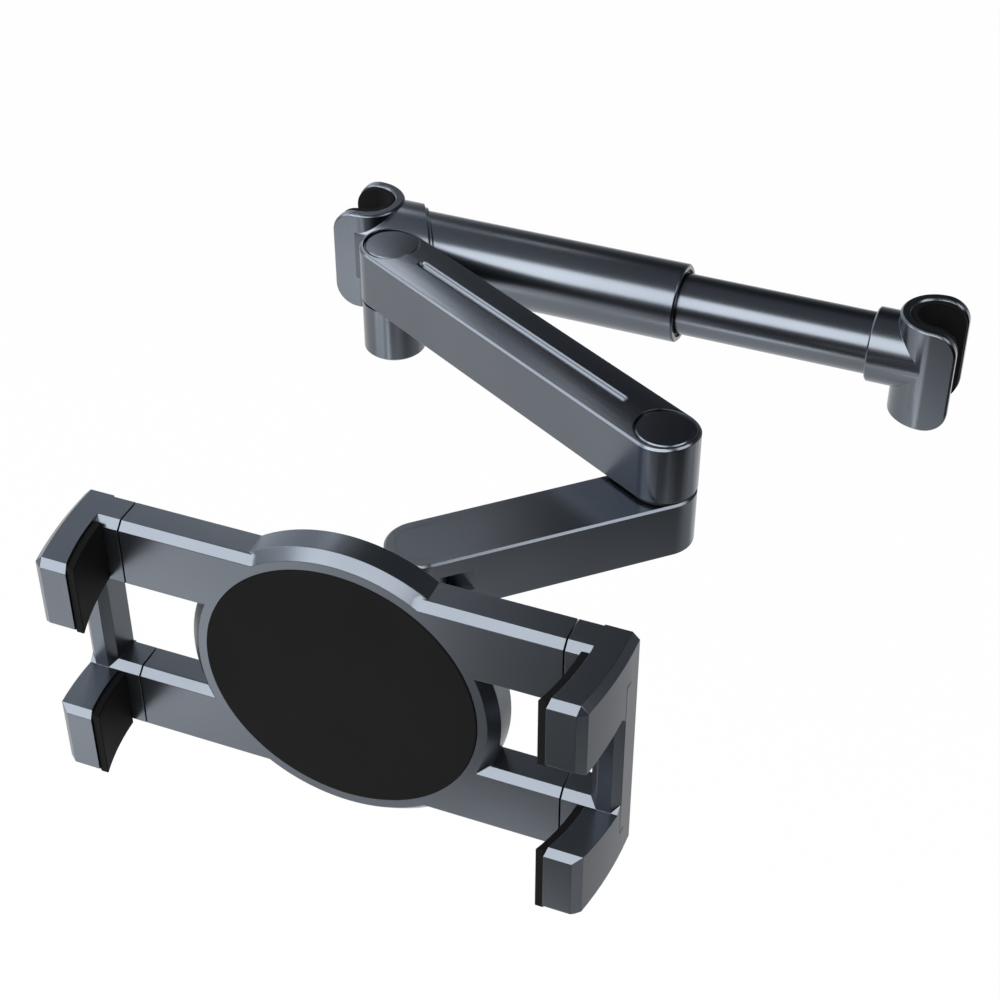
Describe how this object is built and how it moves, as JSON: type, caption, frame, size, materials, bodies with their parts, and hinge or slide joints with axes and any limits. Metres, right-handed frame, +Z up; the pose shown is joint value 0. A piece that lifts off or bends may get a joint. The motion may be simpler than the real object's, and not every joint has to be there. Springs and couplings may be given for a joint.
{
  "type": "headrest tablet mount",
  "caption": "Telescoping bar with rubber-lined hooks for two headrest posts, a folding arm, and a tilting, turning spring cradle that grips a tablet.",
  "frame": {"origin": "on the axis of the left headrest post, level with the bar's axis", "axes": "+X along the bar towards the right post, +Z up along the posts, -Y towards the passenger"},
  "size_m": [0.1896, 0.2058, 0.0808],
  "materials": {
    "anodised_aluminium": "gunmetal satin anodised",
    "painted_abs": "gunmetal satin metallic paint",
    "black_rubber": "matt moulded",
    "black_steel": "black oxide",
    "plated_steel": "zinc-nickel plated",
    "spring_steel": "oiled wire",
    "acetal": "machined black acetal"
  },
  "bodies": {
    "bracket": {"left_bracket": "anodised_aluminium", "left_hook_liner": "black_rubber", "bracket_grub_screw": "black_steel", "outer_tube": "anodised_aluminium", "tube_end_bush": "acetal", "bar_spring": "spring_steel", "pivot_bolt_a": "black_steel", "pivot_nut_a": "black_steel", "spring_washer_a": "plated_steel", "friction_washers_a": "acetal"},
    "slider": {"inner_tube": "anodised_aluminium", "slide_sleeve": "acetal", "spring_seat": "acetal", "right_hook": "anodised_aluminium", "right_hook_liner": "black_rubber", "collar_grub_screw": "black_steel"},
    "upper_arm": {"upper_arm": "anodised_aluminium", "upper_arm_cover": "anodised_aluminium", "upper_cover_screws": "black_steel", "pivot_cap_a": "anodised_aluminium", "pivot_cap_b": "anodised_aluminium"},
    "lower_arm": {"lower_arm": "anodised_aluminium", "lower_arm_cover": "anodised_aluminium", "swivel_pin": "black_steel", "pivot_bolt_b": "black_steel", "pivot_nut_b": "black_steel", "spring_washer_b": "plated_steel", "friction_washers_b": "acetal"},
    "neck": {"swivel_neck": "plated_steel"},
    "tilt_head": {"tilt_head": "plated_steel", "tilt_bolt": "black_steel", "tilt_nut": "black_steel", "spindle_keeper": "plated_steel", "spindle_screw": "black_steel"},
    "cradle": {"cradle_front": "painted_abs", "cradle_back": "painted_abs", "cradle_screws": "black_steel", "disc_pad": "black_rubber", "left_claw_spring": "spring_steel", "right_claw_spring": "spring_steel"},
    "left_claw": {"left_claw": "painted_abs", "left_upper_pad": "black_rubber", "left_lower_pad": "black_rubber"},
    "right_claw": {"right_claw": "painted_abs", "right_upper_pad": "black_rubber", "right_lower_pad": "black_rubber"},
    "pinion": {"pinion": "acetal"}
  },
  "joints": [
    {"name": "bar_slide", "type": "slide", "parent": "bracket", "child": "slider", "axis": [1, 0, 0], "range_m": [-0.045, 0], "stiffness_N_per_m": 150, "springref_m": 0.05, "deforming": ["bar_spring"]},
    {"name": "upper_arm_pivot", "type": "hinge", "parent": "bracket", "child": "upper_arm", "pos_m": [0.0175, -0.022, 0], "axis": [0, 0, 1], "range_deg": [-120, 28]},
    {"name": "lower_arm_pivot", "type": "hinge", "parent": "upper_arm", "child": "lower_arm", "pos_m": [0.12054, -0.07951, -0.01], "axis": [0, 0, 1], "range_deg": [-50, 90]},
    {"name": "neck_swivel", "type": "hinge", "parent": "lower_arm", "child": "neck", "pos_m": [0.07142, -0.12509, -0.0125], "axis": [0, 0, -1], "range_deg": [-55, 55]},
    {"name": "tilt", "type": "hinge", "parent": "neck", "child": "tilt_head", "pos_m": [0.07142, -0.14909, -0.0125], "axis": [1, 0, 0], "range_deg": [-30, 30]},
    {"name": "cradle_rotation", "type": "hinge", "parent": "tilt_head", "child": "cradle", "pos_m": [0.07142, -0.17374, -0.0125], "axis": [0, 1, 0], "continuous": true},
    {"name": "left_claw_slide", "type": "slide", "parent": "cradle", "child": "left_claw", "axis": [-1, 0, 0], "range_m": [0, 0.045], "stiffness_N_per_m": 80, "springref_m": -0.04, "deforming": ["left_claw_spring", "right_claw_spring"]},
    {"name": "right_claw_slide", "type": "slide", "parent": "cradle", "child": "right_claw", "axis": [1, 0, 0], "range_m": [0, 0.045]},
    {"name": "pinion_spin", "type": "hinge", "parent": "cradle", "child": "pinion", "pos_m": [0.07142, -0.17374, -0.0125], "axis": [0, -1, 0], "range_deg": [0, 143.3]}
  ],
  "couplings": [
    {"joint": "right_claw_slide", "follows": "left_claw_slide", "ratio": 1},
    {"joint": "pinion_spin", "follows": "left_claw_slide", "rad_per_m": 55.556}
  ]
}
